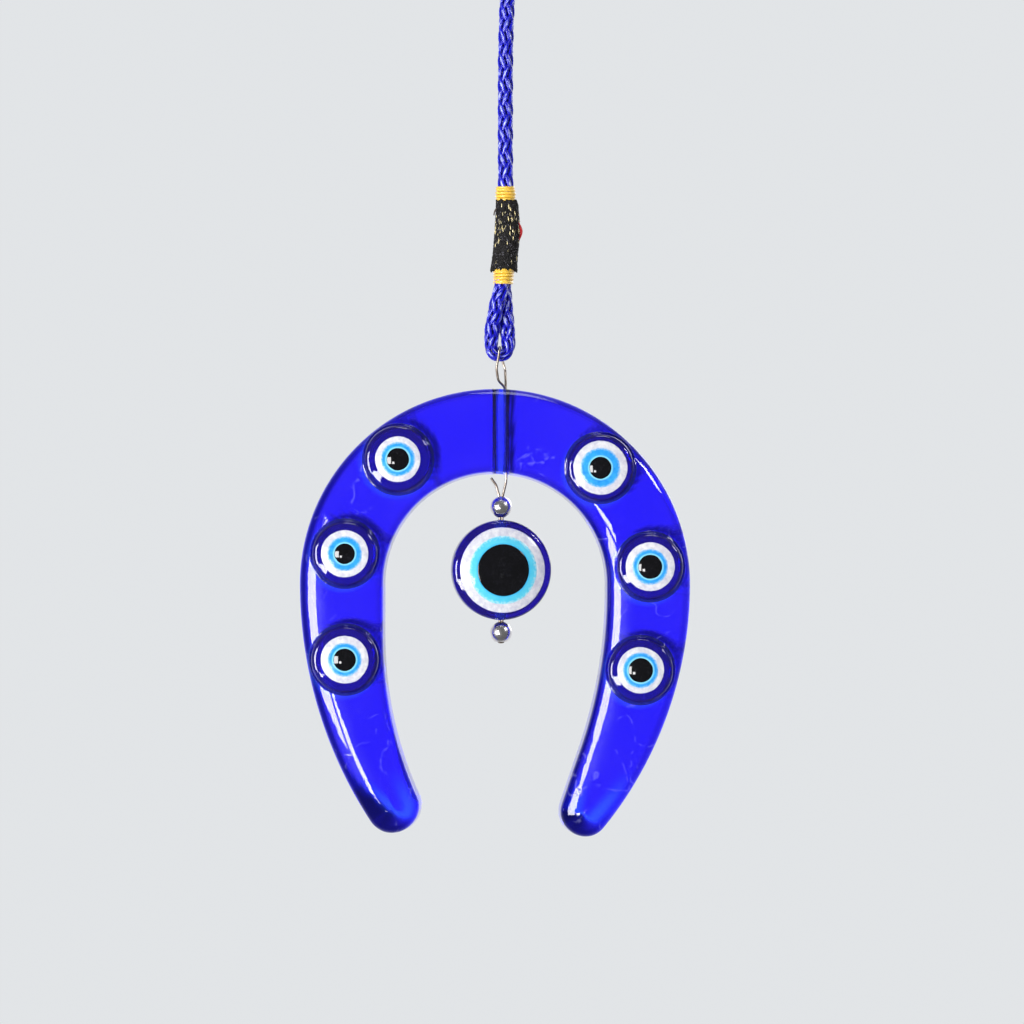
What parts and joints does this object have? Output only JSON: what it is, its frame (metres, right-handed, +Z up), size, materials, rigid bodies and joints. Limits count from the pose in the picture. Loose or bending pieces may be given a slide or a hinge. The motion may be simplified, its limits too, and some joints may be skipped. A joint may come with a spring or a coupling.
{
  "type": "evil eye ornament",
  "caption": "Hanging glass horseshoe with layered eye bosses, a turning eye bead and silver beads on a wire, hung from a braided cord loop.",
  "frame": {"origin": "inside top of the cord's hanging loop, where a nail or hook holds the ornament; X = 0 is the line of the wire", "axes": "+Z up along the hanging line, the front with the raised eyes faces -Y, the flat back of the glass faces +Y"},
  "size_m": [0.0782, 0.0113, 0.2102],
  "materials": {
    "blue_cord": "satin braid",
    "yellow_thread": "glossy rayon thread",
    "black_gold_wrap": "black knit with gold metallic flecks",
    "red_thread": "thread",
    "brown_thread": "thread",
    "steel_wire": "drawn wire",
    "cobalt_glass": "moulded, polished",
    "dark_blue_glass": "polished",
    "white_glass": "opaque glass",
    "light_blue_glass": "opaque glass",
    "cyan_glass": "opaque glass",
    "black_glass": "opaque glass, polished",
    "silver_metal": "polished plating"
  },
  "bodies": {
    "cord": {"braided_cord": "blue_cord", "top_whipping": "yellow_thread", "upper_whipping": "yellow_thread", "glitter_sleeve": "black_gold_wrap", "lower_whipping": "yellow_thread", "red_thread_end": "red_thread", "brown_thread_end": "brown_thread"},
    "hanger": {"hanger_wire": "steel_wire"},
    "horseshoe": {"horseshoe_glass": "cobalt_glass", "upper_left_boss": "dark_blue_glass", "upper_left_white": "white_glass", "upper_left_blue": "light_blue_glass", "upper_left_pupil": "black_glass", "upper_right_boss": "dark_blue_glass", "upper_right_white": "white_glass", "upper_right_blue": "light_blue_glass", "upper_right_pupil": "black_glass", "middle_left_boss": "dark_blue_glass", "middle_left_white": "white_glass", "middle_left_blue": "light_blue_glass", "middle_left_pupil": "black_glass", "middle_right_boss": "dark_blue_glass", "middle_right_white": "white_glass", "middle_right_blue": "light_blue_glass", "middle_right_pupil": "black_glass", "lower_left_boss": "dark_blue_glass", "lower_left_white": "white_glass", "lower_left_blue": "light_blue_glass", "lower_left_pupil": "black_glass", "lower_right_boss": "dark_blue_glass", "lower_right_white": "white_glass", "lower_right_blue": "light_blue_glass", "lower_right_pupil": "black_glass"},
    "eye_bead": {"eye_bead_glass": "dark_blue_glass", "eye_bead_front_white": "white_glass", "eye_bead_front_blue": "cyan_glass", "eye_bead_front_pupil": "black_glass", "eye_bead_back_white": "white_glass", "eye_bead_back_blue": "cyan_glass", "eye_bead_back_pupil": "black_glass"},
    "upper_bead": {"upper_silver_bead": "silver_metal"},
    "lower_bead": {"lower_silver_bead": "silver_metal"}
  },
  "joints": [
    {"name": "wire_swing", "type": "hinge", "parent": "cord", "child": "hanger", "pos_m": [0, 0, -0.1113], "axis": [1, 0, 0], "range_deg": [-60, 60]},
    {"name": "horseshoe_turn", "type": "hinge", "parent": "hanger", "child": "horseshoe", "pos_m": [0, 0, -0.126], "axis": [0, 0, 1], "continuous": true},
    {"name": "eye_bead_turn", "type": "hinge", "parent": "hanger", "child": "eye_bead", "pos_m": [0, 0, -0.154], "axis": [0, 0, 1], "continuous": true},
    {"name": "upper_bead_turn", "type": "hinge", "parent": "hanger", "child": "upper_bead", "pos_m": [0, 0, -0.1414], "axis": [0, 0, 1], "continuous": true},
    {"name": "lower_bead_turn", "type": "hinge", "parent": "hanger", "child": "lower_bead", "pos_m": [0, 0, -0.1665], "axis": [0, 0, 1], "continuous": true}
  ]
}
